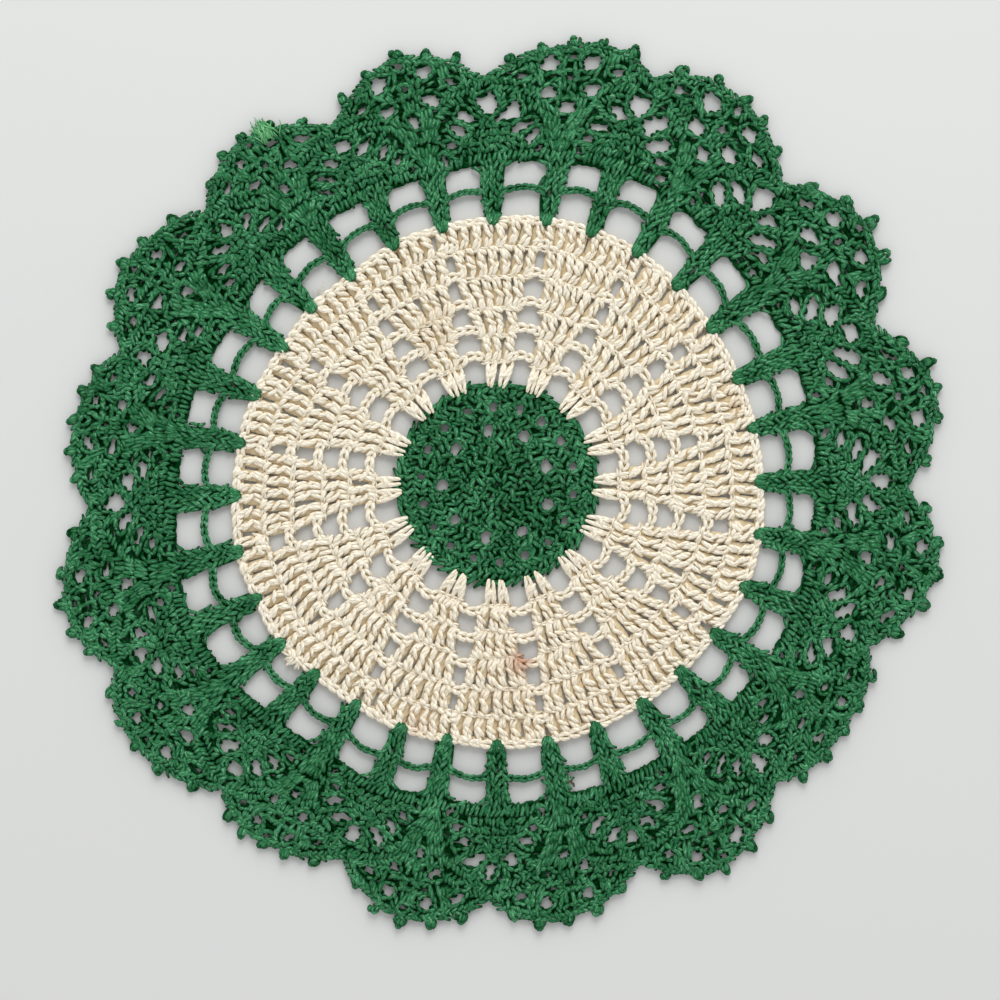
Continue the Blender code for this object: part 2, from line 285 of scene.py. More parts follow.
# Strands from corner to corner round each opening, between points of its grown outline. Each moves outward a
# little on its way, so that its end passes under the next.
def hemmed(openings, count, grow, seed):
    draw, opening = seeded(seed), openings.T[:, :, None]
    moved = draw.uniform(-hand["hemCorner"], hand["hemCorner"], (len(openings), count))
    angle = (np.arange(count + 1) + np.hstack((moved, moved[:, :1]))) * 2 * math.pi / count
    reach = outline(opening, angle)
    lengthwise = np.cos(angle) * reach * (opening[2] + grow)
    crosswise = np.sin(angle) * reach * (opening[3] + grow)
    corners = turnedBy(opening[4], lengthwise, crosswise)[:, :, None]
    share = np.array((-0.14, 0.3, 0.7, 1.14))[:, None]  # a strand's points, from one corner to the next
    outward = 1 + 0.10 * (share - 0.4)
    spots = (corners[:, :-1] + (corners[:, 1:] - corners[:, :-1]) * share) * outward
    spots = spots + draw.normal(0, hand["hemAside"], spots.shape)
    height = np.array((0.95, 1.5, 1.5, 0.85)) + draw.normal(0, hand["hemRise"], spots.shape[:2] + (1,))
    radius = openings[:, 1, None, None] + spots[..., 1]
    flat = turnedBy(openings[:, 0, None, None] * step, radius, spots[..., 0])
    return np.concatenate((flat, height[..., None]), -1).reshape(-1, 4, 3)


# Short grains strewn evenly over the ground, slanted from the radius to either side, bowed, and lower at
# both ends.
def tangle(openings, limit, amount, reach, lengths, height, seed):
    draw = seeded(seed)
    radius = np.sqrt(draw.uniform(reach[0] ** 2, reach[1] ** 2, amount))
    turn = draw.uniform(0, posts, amount)
    angle = turn * step + draw.choice((-1, 1), amount) * draw.normal(*hand["grainSlant"], amount)
    length, bow = draw.uniform(*lengths, amount)[:, None], draw.normal(0, hand["grainBow"], (amount, 1))
    share, lifted = np.array((-0.5, -0.17, 0.17, 0.5)), np.array((0, 1, 1, 0))
    flat = even(turn, radius)[:, None] + turnedBy(angle[:, None], length * share, bow * lifted)
    rise = draw.uniform(*height, (amount, 1)) + 0.5 * (lifted - 1)
    paths = np.concatenate((flat, rise[..., None]), -1)
    return clear(openings, paths[radius < limit(turn)], 0.55)


# Low strands that lie round the middle like bricks and fill the ground between openings. Each starts at a
# brick's middle and reaches to both sides until the brick ends or a grown opening begins.
def ground(openings, limit, radii, grow, seed):
    pitch, height, half, sideSpots, shortest = 2.4, 0.55, 0.58, 8, 5
    draw, share, made = seeded(seed), np.linspace(-1, 1, 2 * sideSpots + 1), []
    for row, radius in enumerate(radii):
        count = int(2 * math.pi * radius / pitch)
        moved = draw.uniform(-hand["lowAlong"], hand["lowAlong"], count)
        turn = ((np.arange(count) + 0.5 * (row % 2) + moved) * posts / count)[:, None]
        turn = turn + share * half * pitch / (radius * step)
        away = radius + draw.normal(0, hand["lowAside"], (count, 1))
        away = away + draw.normal(0, hand["lowSlant"], (count, 1)) * share
        spots = even(turn, away)
        free = ~inside(openings, spots, grow) & (away < limit(turn))
        back, forth = (free[:, sideSpots::way].cumprod(1).sum(1) - 1 for way in (-1, 1))
        kept = (back >= 0) & (back + forth > shortest)
        ends = np.stack((sideSpots - back, sideSpots + forth), -1)[kept]
        at = ends[:, :1] + (ends[:, 1:] - ends[:, :1]) * np.array((0, 0.33, 0.67, 1))
        path = spots[kept][np.arange(len(ends))[:, None], at.astype(int)]
        rise = height + draw.normal(0, hand["lowRise"], (len(path), 1)) + np.zeros(4)
        made.append(np.concatenate((path, rise[..., None]), -1))
    return np.concatenate(made)


# Loose threads: each starts near a place, moved evenly along the round and outward, in a heading from the
# radius, and goes on in steps, its heading turned a little at each by the curl and by draws.
def looseThreads(turn, radius, amount, spread, heading, curl, length, height, seed, steps=5):
    draw = seeded(seed)
    moved = draw.uniform(-1, 1, (amount, 2)) * spread
    start = even(turn, radius) + turnedBy(turn * step, moved[:, 1], moved[:, 0])
    bends = np.cumsum(curl[0] + draw.normal(0, curl[1], (amount, steps)), 1)
    forward = turn * step + heading[0] + draw.normal(0, heading[1], (amount, 1)) + bends
    stride = draw.uniform(*length, (amount, 1, 1)) / steps
    moves = np.cumsum(stride * np.stack((np.cos(forward), np.sin(forward)), -1), 1)
    flat = start[:, None] + np.concatenate((np.zeros((amount, 1, 2)), moves), 1)
    rise = np.linspace(*height, steps + 1) + draw.normal(0, hand["endRise"], (amount, steps + 1))
    return np.concatenate((flat, rise[..., None]), -1)


tubeLook = {
    "blunt": 0.62, "swell": 0.6,  # share of the thickness at both ends, and the power by which it grows
    "tip": 0.6, "overFloor": 1.1,  # how far a tip stands out and how high a path lies, in half thicknesses
    "middle": 0.95, "open": 0.55,  # the mat's middle height, and how far from it all is open, in mm
    # how facing, the middle height and the ends set the lit attribute, which paints shade
    "facing": 0.6, "middleLit": 0.35, "endLit": 0.45,
}


# How open to light rings' points are, for the painted shade: more where they face out of the mat, less
# toward its middle height and toward the strand's ends. Fullness runs from 0 at the ends to 1.
def litOf(height, angle, fullness):
    fromMiddle, middleLit, endLit = height - tubeLook["middle"], tubeLook["middleLit"], tubeLook["endLit"]
    facing = np.clip(0.5 + tubeLook["facing"] * np.sin(angle) * np.where(fromMiddle > 0, 1.0, -1.0), 0, 1)
    depth = np.clip(np.abs(fromMiddle) / tubeLook["open"], 0, 1)
    lit = facing * (middleLit + (1 - middleLit) * depth) * (endLit + (1 - endLit) * fullness[:, None])
    tips = [lit[:, end].mean(1, keepdims=True) for end in (0, -1)]
    return np.concatenate((tips[0], lit.reshape(len(lit), -1), tips[1]), 1)


# Corner numbers of one tube's faces: squares between rings, and a fan of triangles at each tip.
def tubeFaces(rings, sides):
    def corner(row, column):
        return 1 + row * sides + column % sides

    r, s = np.meshgrid(np.arange(rings - 1), np.arange(sides), indexing="ij")
    quads = np.stack((corner(r, s), corner(r, s + 1), corner(r + 1, s + 1), corner(r + 1, s)), -1)
    s, last = np.arange(sides), rings - 1
    starts = np.stack((0 * s, corner(0, s + 1), corner(0, s)), -1)
    ends = np.stack((0 * s + 1 + rings * sides, corner(last, s), corner(last, s + 1)), -1)
    return quads.reshape(-1, 4), np.concatenate((starts, ends))


# A tube's map, for squares and for tips: U goes once round the thread, V is the length travelled, in mm.
def tubeMap(travelled, sides):
    around = np.arange(sides + 1) / sides
    left, right = around[:-1], around[1:]
    middle = (left + right) / 2
    here, ahead, ends = travelled[:, :-1], travelled[:, 1:], travelled[:, [0, -1]]
    quadU = np.tile(np.stack((left, right, right, left), -1), (travelled.shape[1] - 1, 1))
    capU = np.concatenate((np.stack((middle, right, left), -1), np.stack((middle, left, right), -1)))
    made = []
    for u, v in ((quadU, (here, here, ahead, ahead)), (capU, (ends, ends, ends))):
        v = np.repeat(np.stack(v, -1), sides, 1)
        made.append(np.stack((np.broadcast_to(u, v.shape), v), -1).reshape(-1, 2))
    return made


# Tubes round smoothed paths. A ring's point is at its angle's cosine times the side plus its sine times the
# upright. Rings get slimmer to both ends by a sine, and no tube dips under the floor.
def tubes(paths, wide, tall, rings, sides=5, uneven=0.10):
    count, controls = paths.shape[:2]
    fullness = np.sin(np.linspace(0, math.pi, rings)) ** tubeLook["swell"]
    profile = tubeLook["blunt"] + (1 - tubeLook["blunt"]) * fullness
    plump = 1 + uneven * seeded(count).normal(0, 1, (count, 1))
    size, rise = wide * plump * profile * mm, tall * plump * profile * mm
    spine = laid(splineWeights(controls, np.linspace(0, controls - 1, rings)) @ paths)
    spine[..., 2] = np.maximum(spine[..., 2], tubeLook["overFloor"] * rise)
    forward = np.gradient(spine, axis=1)
    length = np.linalg.norm(forward, axis=-1, keepdims=True)
    forward /= np.maximum(length, 1e-9)
    side = np.cross(forward, (0.0, 0.0, 1.0))
    side /= np.maximum(np.linalg.norm(side, axis=-1, keepdims=True), 1e-9)
    upright = np.cross(side, forward)
    odd = sides % 2  # an odd number of sides has a corner on top, an even one a flat
    angle = (np.arange(sides) + 0.5 * (1 - odd)) * 2 * math.pi / sides + math.pi / 2 * odd
    ring = (spine[:, :, None] + side[:, :, None] * (np.cos(angle)[:, None] * size[:, :, None, None])
            + upright[:, :, None] * (np.sin(angle)[:, None] * rise[:, :, None, None]))
    start = spine[:, :1] - forward[:, :1] * size[:, :1, None] * tubeLook["tip"]
    end = spine[:, -1:] + forward[:, -1:] * size[:, -1:, None] * tubeLook["tip"]
    points = np.concatenate((start, ring.reshape(count, -1, 3), end), 1)
    base = np.arange(count)[:, None, None] * points.shape[1]
    quads, caps = tubeFaces(rings, sides)
    quadMap, capMap = tubeMap(np.cumsum(length[..., 0], 1) / mm, sides)
    return {"points": points.reshape(-1, 3), "quads": (quads + base).reshape(-1, 4),
            "caps": (caps + base).reshape(-1, 3), "quadMap": quadMap, "capMap": capMap,
            "lit": litOf(spine[..., 2:] / mm, angle, fullness).ravel(), "strands": count}


# An object with the given data, shown in the scene.
def shown(name, data):
    thing = bpy.data.objects.new(name, data)
    bpy.context.scene.collection.objects.link(thing)
    return thing


# One mesh of many tubes, given as whole arrays. Shade is one random value for each strand.
def threadPiece(name, groups, finish):
    draw, first = seeded(len(name)), 0
    made = [tubes(**group) for group in groups]
    for one in made:
        one["quads"] += first
        one["caps"] += first
        one["shade"] = np.repeat(draw.random(one["strands"]), len(one["points"]) // one["strands"])
        first += len(one["points"])
    points, quads, caps, quadMap, capMap, lit, shade = (
        np.concatenate([one[key] for one in made])
        for key in ("points", "quads", "caps", "quadMap", "capMap", "lit", "shade"))
    corners = np.concatenate((quads.ravel(), caps.ravel()))
    starts = np.concatenate((np.arange(len(quads)) * 4, len(quads) * 4 + np.arange(len(caps)) * 3))
    mesh = bpy.data.meshes.new(name)
    mesh.vertices.add(len(points))
    mesh.loops.add(len(corners))
    mesh.polygons.add(len(starts))
    mesh.vertices.foreach_set("co", points.ravel())
    mesh.loops.foreach_set("vertex_index", corners.astype(np.int32))
    mesh.polygons.foreach_set("loop_start", starts.astype(np.int32))
    mesh.update(calc_edges=True)
    mesh.shade_smooth()
    mesh.uv_layers.new(name="thread").data.foreach_set("uv", np.concatenate((quadMap, capMap)).ravel())
    for label, values in (("shade", shade), ("lit", lit)):
        mesh.attributes.new(label, "FLOAT", "POINT").data.foreach_set("value", values.astype(np.float32))
    mesh.materials.append(finish)
    print(name, len(quads) * 2 + len(caps), "triangles")
    return shown(name, mesh)


# A thread's finish. Its height is the size of a sine of the turns round the thread plus its length, for the
# twisted plies, plus fine noise. Its colour goes from light to dark by strand and by patch, to painted shade
# in the ply grooves, up to painted glints on the ply ridges, down to painted shade where the lit attribute,
# less random shadow patches, says little light comes, and to each stain's or tint's colour near its place.
def threadFinish(name, look):
    made = bpy.data.materials.new(name)
    made.use_nodes = True
    nodes, links = made.node_tree.nodes, made.node_tree.links

    def fill(sockets, values):
        for key, value in values.items():
            if isinstance(value, bpy.types.NodeSocket):
                links.new(value, sockets[key])
            else:
                sockets[key].default_value = value

    def node(kind, values, **settings):
        new = nodes.new(kind)
        for key, value in settings.items():
            setattr(new, key, value)
        fill(new.inputs, values)
        return new.outputs

    def maths(operation, *values):
        return node("ShaderNodeMath", dict(enumerate(values)), operation=operation)[0]

    def times(first, second):
        return maths("MULTIPLY", first, second)

    def less(first, second):
        return maths("SUBTRACT", first, second)

    def zeroToOne(value):
        return maths("MINIMUM", maths("MAXIMUM", value, 0.0), 1.0)

    def mixed(share, first, second):  # a colour mix has its own inputs and output
        return node("ShaderNodeMix", {0: share, 6: first, 7: second}, data_type="RGBA")[2]

    def noise(scale, detail, roughness):
        values = {"Vector": onPiece, "Scale": scale, "Detail": detail, "Roughness": roughness}
        return node("ShaderNodeTexNoise", values)[0]

    onPiece = node("ShaderNodeTexCoord", {})["Object"]
    onThread = node("ShaderNodeSeparateXYZ", {0: node("ShaderNodeUVMap", {}, uv_map="thread")[0]})
    shade, lit = (node("ShaderNodeAttribute", {}, attribute_name=label)["Fac"] for label in ("shade", "lit"))
    turns = maths("ADD", times(onThread[0], look["plies"]), maths("DIVIDE", onThread[1], look["plyLength"]))
    ply = maths("ABSOLUTE", maths("SINE", times(turns, math.pi)))
    patches, shadowPatches = noise(look["patchScale"], 2.0, 0.5), noise(look["clusterShadowScale"], 1.0, 0.5)
    tone = mixed(times(shade, look["strandShare"]), look["colour"], look["light"])
    tone = mixed(times(patches, look["patchShare"]), tone, look["dark"])
    # painted shade in the ply grooves: a darker colour where the ply is low
    tone = mixed(times(less(1.0, ply), look["grooveShadeShare"]), tone, look["grooveShade"])
    # painted glints: a lighter colour in noise flecks on the ply ridges
    glintMask = times(less(noise(look["glintScale"], 2.0, 0.6), 0.5), look["glintContrast"])
    tone = mixed(times(times(zeroToOne(glintMask), ply), look["paintedGlintShare"]), tone, look["paintedGlint"])
    # painted shade: a darker colour where the lit attribute, less random shadow patches, is low
    shadow = times(less(shadowPatches, 0.5), look["clusterShadowShare"])
    depth = maths("POWER", less(1.0, less(lit, shadow)), look["paintedShadePower"])
    tone = mixed(times(zeroToOne(depth), look["paintedShadeShare"]), tone, look["paintedShade"])
    for x, y, size, colour, share in look["stainsAndTints"]:
        spot = (x * mm, y * mm, look["stainHeight"] * mm)
        away = node("ShaderNodeVectorMath", {0: onPiece, 1: spot}, operation="DISTANCE")["Value"]
        near = maths("MAXIMUM", less(1.0, maths("DIVIDE", away, size * mm)), 0.0)
        ragged = times(near, maths("ADD", patches, look["stainRagged"]))
        tone = mixed(maths("MINIMUM", times(ragged, share), look["stainMost"]), tone, colour)
    height = maths("ADD", ply, times(noise(look["fuzzScale"], 3.0, 0.6), look["fuzzRise"]))
    relief = {"Strength": look["bump"], "Distance": look["bumpDepth"] * mm, "Height": height}
    fill(nodes["Principled BSDF"].inputs, {
        "Base Color": tone, "Normal": node("ShaderNodeBump", relief)[0], "Roughness": look["roughness"],
        "Sheen Weight": look["sheen"], "Sheen Roughness": look["sheenRoughness"],
        "Specular IOR Level": look["specular"]})
    return made


# Scales are repeats in a metre, lengths mm. A stain or tint has its place, size, colour and strength.
greenLook = {
    "colour": (0.037, 0.203, 0.080, 1), "light": (0.115, 0.405, 0.195, 1), "dark": (0.016, 0.145, 0.050, 1),
    # painted shade in the ply grooves
    "grooveShade": (0.006, 0.090, 0.030, 1), "grooveShadeShare": 0.6, "strandShare": 0.9,
    # painted shade where little light comes, and how it follows the lit attribute
    "paintedShade": (0.0001, 0.044, 0.0065, 1), "paintedShadePower": 0.75, "paintedShadeShare": 1.0,
    # painted glints on the ply ridges
    "paintedGlint": (0.230, 0.560, 0.320, 1), "glintScale": 1300.0, "paintedGlintShare": 0.75, "glintContrast": 5.0,
    "roughness": 0.6, "sheen": 0.0, "sheenRoughness": 0.4, "specular": 0.02,
    "plies": 4.0, "plyLength": 2.0, "bump": 0.9, "bumpDepth": 0.10, "fuzzScale": 9000.0, "fuzzRise": 0.3,
    # random patches of dark tone, and random patches that deepen the painted shade
    "patchScale": 28.0, "patchShare": 0.45, "clusterShadowScale": 230.0, "clusterShadowShare": 1.0,
    "stainHeight": 1.0, "stainRagged": 0.4, "stainMost": 0.9,
    "stainsAndTints": ((17.5, -74.0, 1.3, (0.12, 0.07, 0.05, 1), 3.0),),  # the burr at a window's edge
}
creamLook = dict(
    greenLook, colour=(0.94, 0.885, 0.735, 1), light=(0.98, 0.945, 0.84, 1), dark=(0.89, 0.80, 0.62, 1),
    # painted shade in the grooves and where little light comes, and painted glints, as for the green
    grooveShade=(0.67, 0.53, 0.35, 1), paintedShade=(0.80, 0.63, 0.38, 1), paintedShadePower=2.3, paintedGlint=(1.0, 0.99, 0.93, 1),
    paintedGlintShare=0.6, roughness=0.75, sheen=0.05, specular=0.2, plies=3.0, plyLength=1.7, bumpDepth=0.12,
    patchScale=40.0, patchShare=0.3, clusterShadowScale=260.0, clusterShadowShare=0.4, strandShare=0.6, grooveShadeShare=0.40,
    stainsAndTints=(
        # a broad tan tint over the lower side of the ring
        (8.0, -52.0, 46.0, (0.80, 0.62, 0.42, 1), 0.20),
        (4.7, -44.2, 4.5, (0.52, 0.26, 0.14, 1), 0.9), (6.0, -42.5, 3.0, (0.50, 0.22, 0.12, 1), 0.8),
        (-17.1, 37.6, 7.0, (0.62, 0.46, 0.26, 1), 0.4), (-14.0, 43.0, 6.0, (0.66, 0.50, 0.30, 1), 0.3),
        (-20.3, -59.7, 5.0, (0.72, 0.50, 0.36, 1), 0.45), (57.8, 18.9, 3.5, (0.62, 0.45, 0.26, 1), 0.6),
        (-21.6, -18.5, 1.3, (0.12, 0.08, 0.04, 1), 2.4), (-24.8, -20.7, 1.1, (0.16, 0.11, 0.06, 1), 2.2)))
# A darker copy of the cream, painted shade for the cores seen in the gaps between stitches.
shadedCreamLook = dict(
    creamLook, colour=(0.82, 0.72, 0.53, 1), light=(0.88, 0.78, 0.59, 1), dark=(0.76, 0.65, 0.46, 1),
    paintedShade=(0.70, 0.57, 0.36, 1), paintedGlintShare=0.3)
looseGreenLook = dict(
    greenLook, colour=(0.15, 0.50, 0.19, 1), light=(0.34, 0.74, 0.40, 1), dark=(0.09, 0.38, 0.12, 1),
    # painted shade in the grooves and, weaker, where little light comes
    grooveShade=(0.06, 0.30, 0.09, 1), paintedShade=(0.02, 0.16, 0.04, 1), paintedShadeShare=0.6, stainsAndTints=())
greenThread = threadFinish("green_thread", greenLook)
creamThread = threadFinish("cream_thread", creamLook)
shadedCreamThread = threadFinish("cream_thread_painted_shade", shadedCreamLook)
looseGreenThread = threadFinish("loose_green", looseGreenLook)
print("finishes made")

# Stitches: strands of four points each, as (across in half widths, along, height in mm).
tallStitch = (  # a double crochet: legs leaning one way, a wrap across, the upper half leaning back, a loop
    ((0, -0.04, 0.85), (-0.34, 0.12, 1.4), (-0.6, 0.28, 1.55), (-0.74, 0.48, 1)),
    ((0.64, -0.04, 0.85), (0.36, 0.12, 1.45), (0.06, 0.3, 1.6), (-0.2, 0.52, 1.05)),
    ((-0.84, 0.36, 1.1), (-0.34, 0.44, 1.85), (0.22, 0.56, 1.9), (0.74, 0.68, 1.1)),
    ((-0.66, 0.54, 1), (-0.46, 0.67, 1.6), (-0.16, 0.8, 1.65), (0.2, 0.97, 1.05)),
    ((-0.1, 0.58, 1), (0.16, 0.7, 1.65), (0.46, 0.83, 1.7), (0.78, 0.97, 1.1)),
    ((-0.86, 0.84, 1.1), (-0.44, 0.93, 1.75), (0.06, 0.99, 1.75), (0.5, 1.03, 1.1)),
)
hook = (  # two legs hooked into the edge of the medallion
    ((-0.5, 1, 1.2), (-0.58, 0.62, 1.65), (-0.48, 0.28, 1.95), (-0.34, -0.04, 2)),
    ((0.5, 1, 1.2), (0.56, 0.64, 1.65), (0.46, 0.3, 1.95), (0.32, 0, 2)),
)
hookWrap = (  # the rest of that stitch: two short strands between the legs, and a wrap across them
    ((-0.16, 0.22, 1.1), (-0.12, 0.42, 1.7), (-0.2, 0.62, 1.75), (-0.45, 0.86, 1.1)),
    ((0.1, 0.26, 1.1), (0.22, 0.48, 1.8), (0.3, 0.68, 1.8), (0.5, 0.9, 1.1)),
    ((-0.8, 0.6, 1.2), (-0.28, 0.52, 2.15), (0.28, 0.44, 2.15), (0.78, 0.34, 1.2)),
)
link = (  # one link of a chain: a V whose arms dive under the next one
    ((0.08, -0.15, 0.85), (-0.42, 0.22, 1.5), (-0.78, 0.74, 1.45), (-0.45, 1.22, 0.7)),
    ((-0.06, -0.05, 0.85), (0.44, 0.3, 1.5), (0.8, 0.82, 1.45), (0.42, 1.28, 0.7)),
)
footStitch = (  # the foot of a post, laid over the edge of the ring
    ((-0.5, 0.1, 1.5), (-0.62, 0.34, 1.75), (-0.74, 0.7, 1.6), (-0.88, 1.1, 1)),
    ((-0.2, 0.02, 1.6), (-0.26, 0.28, 1.9), (-0.36, 0.66, 1.75), (-0.52, 1.1, 1)),
    ((0.14, 0, 1.6), (0.1, 0.26, 1.95), (0.04, 0.66, 1.8), (0, 1.15, 1)),
    ((0.42, 0.06, 1.55), (0.48, 0.3, 1.85), (0.54, 0.66, 1.7), (0.58, 1.1, 1)),
    ((0.62, 0.2, 1.4), (0.74, 0.42, 1.7), (0.84, 0.72, 1.6), (0.92, 1.1, 0.95)),
)
braid = (  # two columns of slanted grains, parting from the middle
    ((0.16, -0.35, 0.75), (-0.26, 0.08, 1.5), (-0.64, 0.58, 1.55), (-0.92, 1.05, 0.8)),
    ((-0.16, 0.15, 0.75), (0.26, 0.58, 1.55), (0.64, 1.08, 1.5), (0.92, 1.55, 0.8)),
)
# Single grains: slanted across a cord, along the ribbon, across it leaning forward, back, and nearly square
rope = (((-0.95, -0.5, 0.7), (-0.36, 0.1, 1.5), (0.36, 0.75, 1.5), (0.95, 1.35, 0.7)),)
grain = (((-0.1, -0.14, 0.75), (-0.04, 0.24, 1.5), (0.04, 0.76, 1.55), (0.1, 1.14, 0.8)),)
twill = (((-1.05, -0.35, 0.7), (-0.42, 0.02, 1.5), (0.42, 0.5, 1.5), (1.05, 0.85, 0.75)),)
twillBack = (((-1.05, 0.85, 0.7), (-0.42, 0.5, 1.5), (0.42, 0.02, 1.5), (1.05, -0.35, 0.75)),)
bandGrain = (((-1, 0, 0.75), (-0.42, 0.12, 1.55), (0.42, 0.38, 1.55), (1, 0.55, 0.75)),)
knob = (  # a picot: a thick bud of grains, closed by one across its top
    ((-0.56, -0.2, 0.9), (-0.74, 0.16, 1.1), (-0.74, 0.52, 1.15), (-0.52, 0.86, 0.95)),
    ((0.56, -0.2, 0.9), (0.76, 0.12, 1.1), (0.76, 0.46, 1.15), (0.56, 0.82, 0.95)),
    ((-0.22, -0.05, 1.3), (-0.3, 0.24, 1.6), (-0.24, 0.54, 1.6), (-0.06, 0.84, 1.25)),
    ((0.2, -0.05, 1.3), (0.26, 0.22, 1.6), (0.3, 0.5, 1.6), (0.28, 0.78, 1.3)),
    ((-0.58, 0.74, 1), (-0.2, 1, 1.25), (0.22, 1, 1.25), (0.6, 0.72, 1)),
)
nub = (  # a single crochet
    ((-0.52, -0.2, 0.8), (-0.56, 0.15, 1.45), (-0.38, 0.55, 1.5), (-0.08, 0.92, 0.9)),
    ((0.46, -0.2, 0.8), (0.54, 0.15, 1.45), (0.42, 0.55, 1.55), (0.14, 0.9, 0.9)),
    ((-1, 0.72, 0.85), (-0.5, 1, 1.6), (0.14, 1.04, 1.65), (0.66, 0.8, 0.9)),
)
# Flat strands under the stitches
tallCore = (((0, -0.1, 0.82), (0.1, 0.3, 0.82), (0.1, 0.7, 0.82), (0, 1.05, 0.82)),)
core = (((0, -0.08, 0.6), (0, 0.3, 0.6), (0, 0.7, 0.6), (0, 1.05, 0.6)),)
lengthwise = (((0, 0, 0.6), (0, 0.33, 0.6), (0, 0.67, 0.6), (0, 1, 0.6)),)


# One group of tubes: paths, rings in each, and the thread's half width and half height in mm.
def strung(paths, rings, thread, **more):
    return dict(paths=paths, rings=rings, wide=thread[0], tall=thread[1], **more)


# A group of flat strands, laid without wobble.
def flatStrands(template, rows, rings, thread, **more):
    return strung(worked(template, rows, wobble=0.0), rings, thread, sides=6, **more)


# The cream ring: sixteen wedges, row by row. A thread is its half width and half height.
ringLook = {
    "thread": (0.55, 0.495), "topThread": (0.33, 0.33), "coreTall": 0.42, "coreShare": 0.54,
    # rounds: two radii, stitches in a wedge, its width at both radii, and how full a stitch's place is
    "rounds": (
        (30.2, 36.6, 3, 6.6, 8.8, 1.0), (36.6, 43.2, 4, 8.4, 12.4, 1.0), (43.2, 51.0, 6, 12.6, 17.6, 0.96),
        (51.0, 58.0, 7, 17.4, 21.4, 0.90), (58.0, 64.7, 8, 22.78, 25.40, 0.88),
    ),
    "innerRounds": 2,
    # chains over the tops of the rounds: radius, span and links in a wedge; seams under them: radius, span
    "tops": ((30.3, 7.0, 4), (36.6, 9.2, 5), (43.2, 12.8, 7), (50.9, 17.9, 9), (57.9, 22.6, 11)),
    "seams": ((31.0, 6.8), (37.4, 8.4), (44.1, 12.2), (51.8, 17.2), (58.8, 23.0), (64.2, 25.3)),
    # chains between wedges: radius, half length; the course of one in half lengths, mm outward and height
    "bars": ((31.8, 2.5), (38.5, 3.1), (44.9, 2.8), (51.9, 2.1), (59.1, 1.5)),
    "barCourse": ((-1.15, -0.5, 0.0), (-0.5, 0.25, 0.2), (0.5, 0.25, 0.2), (1.15, -0.5, 0.0)),
    "barWidth": 2.1, "barLink": 1.9, "barEnd": 1.15,
    "hooks": (24.0, 30.4, 4.9, 7.4), "hookCores": (26.0, 30.4, 5.5, 7.4),  # radii and spans
    "edge": (1, 64.7, 0.1, 1.7), "edgeLinks": 9,  # half a wedge in posts, radius, height and width
}
inner, outer, cores = [], [], []


# A group of flat strands under the ring, with so much half width.
def ringStrands(template, rows, rings, wide):
    cores.append(flatStrands(template, rows, rings, (wide, ringLook["coreTall"]), uneven=0.0))


for k, (foot, top, count, footSpan, topSpan, fill) in enumerate(ringLook["rounds"]):
    rows = rowOf(dips, count, foot, top, footSpan, topSpan, seed=k)
    stitches = worked(tallStitch, rows * (1, 1, 1, fill), wobble=1.8, stray=0.06, seed=10 + k)
    (inner if k < ringLook["innerRounds"] else outer).append(strung(stitches, 5, ringLook["thread"]))
    ringStrands(tallCore, rows, 4, (footSpan + topSpan) / 2 / count * ringLook["coreShare"])
hookRows = rowOf(dips, 2, *ringLook["hooks"], seed=8)
for template, rings in ((hook, 8), (hookWrap, 5)):
    inner.append(strung(worked(template, hookRows, seed=9), rings, ringLook["thread"]))
ringStrands(core, rowOf(dips, 2, *ringLook["hookCores"]), 4, 1.2)
for radius, half in ringLook["bars"]:
    rows = ribbonsAt(crests, *[(half / (radius * step) * share, radius + away, height, ringLook["barWidth"])
                               for share, away, height in ringLook["barCourse"]])
    links = max(2, round(2 * half * ringLook["barEnd"] / ringLook["barLink"]))
    inner.append(strung(worked(link, rows, repeats=links, seed=30), 5, ringLook["thread"]))
    ringStrands(lengthwise, rows, 6, 0.6)
for radius, span in ringLook["seams"]:
    ringStrands(lengthwise, arcs(dips, span / 2 / (radius * step), radius, 0.0, 1.0), 8, 1.25)
for k, (radius, span, links) in enumerate(ringLook["tops"]):
    rows = arcs(dips, span / 2 / (radius * step), radius, -0.10, 0.95)
    chain = worked(link, rows, repeats=links, wobble=1.2, seed=33 + k)
    outer.append(strung(chain, 5, ringLook["topThread"]))
chain = worked(link, arcs(dips, *ringLook["edge"]), repeats=ringLook["edgeLinks"], seed=31)
outer.append(strung(chain, 5, ringLook["thread"]))
# The cores under the ring take the darker cream copy, a painted shade.
ringCore = threadPiece("wedge_ring_core", cores, shadedCreamThread)
ringInner = threadPiece("wedge_ring_inner_rounds", inner, creamThread)
ringOuter = threadPiece("wedge_ring_outer_rounds", outer, creamThread)
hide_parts("wedge_ring")
for piece in (ringCore, ringInner, ringOuter):
    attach(piece, "root")

# The green border: posts with a bar between them, a dense band and sixteen scallops. Openings: turn from
# the crest or post, radius, half length, half width, tilt of the length in degrees.
openingLook = {
    "middle": (
        (0.0, 94.0, 2.0, 1.75, 90), (0.0, 102.3, 1.35, 1.1, 90), (0.0, 108.4, 1.2, 1.4, 90),
        (1.0, 94.9, 2.7, 2.2, 90),
    ),
    "side": (
        (0.27, 98.4, 2.35, 1.6, 155), (0.27, 105.5, 2.4, 1.75, 135), (0.60, 101.9, 2.5, 1.05, 150),
        (0.73, 92.4, 3.2, 1.65, 139), (0.55, 88.9, 3.2, 1.35, 145), (0.41, 85.8, 2.3, 1.1, 148),
        (0.29, 82.3, 1.6, 0.9, 115),
    ),
    "windows": ((0.5, 68.3, 4.7, 3.1, 0), (0.5, 76.3, 4.8, 3.0, 0)),
}
middleOpenings = openingsOf(openingLook["middle"], crests, False, 1)
sideOpenings = openingsOf(openingLook["side"], crests, True, 2)
windows = openingsOf(openingLook["windows"], everyPost, False, 5, 0.3)
openings = np.concatenate((middleOpenings, sideOpenings, windows))
